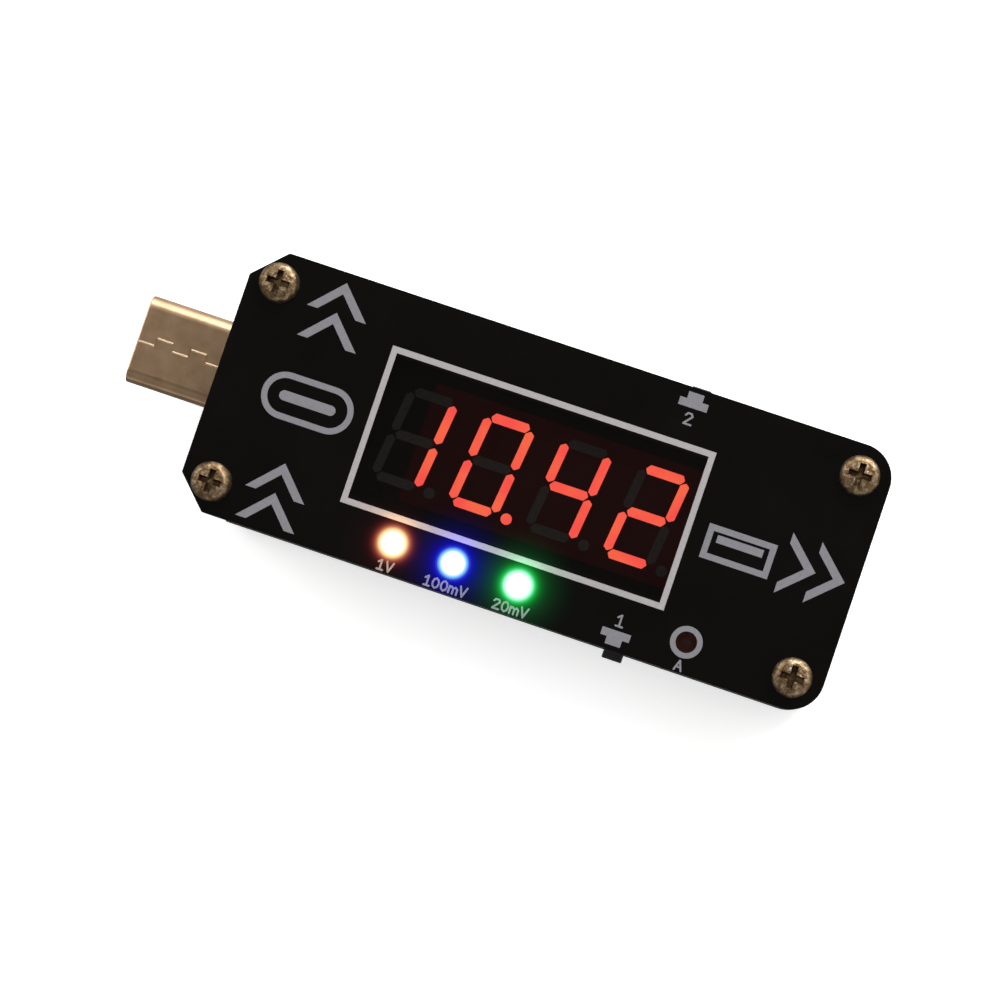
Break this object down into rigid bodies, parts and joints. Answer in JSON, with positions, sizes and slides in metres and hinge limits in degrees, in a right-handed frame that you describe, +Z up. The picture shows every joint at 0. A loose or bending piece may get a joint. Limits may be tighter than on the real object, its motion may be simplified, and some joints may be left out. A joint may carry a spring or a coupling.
{
  "type": "usb power meter",
  "caption": "Small inline USB power meter: smoked panels round a board with a segment display, round LEDs, side keys, a USB-C plug and a USB-A socket.",
  "frame": {"origin": "on the rest plane (the lower screw heads), under the middle of the whole object's box", "axes": "+X along the length from the USB-C plug to the USB-A socket; +Z up out of the display; +Y towards key 2"},
  "size_m": [0.0684, 0.0254, 0.0192],
  "materials": {
    "smoked_acrylic": "polished, nearly opaque smoke tint",
    "engraving": "frosted laser engraving",
    "brass": "satin, lightly worn",
    "nylon": "moulded",
    "solder_mask": "green solder mask",
    "solder": "bright solder",
    "display_shell": "black printed face over moulded body",
    "lit_epoxy": "glowing red light pipe",
    "unlit_epoxy": "milky grey light pipe",
    "bare_laminate": "glass-epoxy laminate",
    "potting": "cast epoxy",
    "tinned_wire": "tinned",
    "amber_lens": "diffused lens, lit",
    "blue_lens": "diffused lens, lit",
    "green_lens": "diffused lens, lit",
    "red_lens": "diffused lens, unlit",
    "plug_bronze": "satin bronze plating",
    "black_nylon": "moulded",
    "gold_contact": "gold flash",
    "spring_steel": "stamped",
    "socket_steel": "nickel plated sheet",
    "key_steel": "stamped",
    "white_insulator": "moulded",
    "key_plastic": "moulded",
    "chip_epoxy": "moulded epoxy",
    "ceramic_body": "fired ceramic",
    "can_metal": "drawn can"
  },
  "bodies": {
    "case": {"top_panel": "smoked_acrylic", "bottom_panel": "smoked_acrylic", "panel_legend": "engraving", "top_screws": "brass", "bottom_screws": "brass", "standoffs": "brass", "lower_spacers": "nylon", "circuit_board": "solder_mask", "solder_joints": "solder", "display_housing": "display_shell", "lit_segments": "lit_epoxy", "unlit_segments": "unlit_epoxy", "display_die_board": "bare_laminate", "display_potting": "potting", "display_pins": "tinned_wire", "led_leads": "tinned_wire", "k1_terminals": "tinned_wire", "k2_terminals": "tinned_wire", "controller_leads": "tinned_wire", "amplifier_leads": "tinned_wire", "regulator_leads": "tinned_wire", "chip_terminals": "tinned_wire", "led_amber": "amber_lens", "led_blue": "blue_lens", "led_green": "green_lens", "led_red": "red_lens", "plug_shell": "plug_bronze", "plug_core": "black_nylon", "k1_base": "black_nylon", "k2_base": "black_nylon", "capacitor_base": "black_nylon", "plug_contacts": "gold_contact", "socket_contacts": "gold_contact", "plug_latches": "spring_steel", "k1_dome": "spring_steel", "k2_dome": "spring_steel", "socket_shell": "socket_steel", "k1_cover": "key_steel", "k2_cover": "key_steel", "socket_insulator": "white_insulator", "controller_chip": "chip_epoxy", "amplifier_chip": "chip_epoxy", "regulator_chip": "chip_epoxy", "shunt_resistor": "chip_epoxy", "chip_resistors": "chip_epoxy", "chip_capacitors": "ceramic_body", "crystal_base": "ceramic_body", "capacitor_can": "can_metal", "crystal_lid": "can_metal"},
    "key_1": {"k1_button": "key_plastic"},
    "key_2": {"k2_button": "key_plastic"}
  },
  "joints": [
    {"name": "k1_press", "type": "slide", "parent": "case", "child": "key_1", "axis": [0, 1, 0], "range_m": [0, 0.00025], "stiffness_N_per_m": 6400, "deforming": ["k1_dome"]},
    {"name": "k2_press", "type": "slide", "parent": "case", "child": "key_2", "axis": [0, -1, 0], "range_m": [0, 0.00025], "stiffness_N_per_m": 6400, "deforming": ["k2_dome"]}
  ]
}
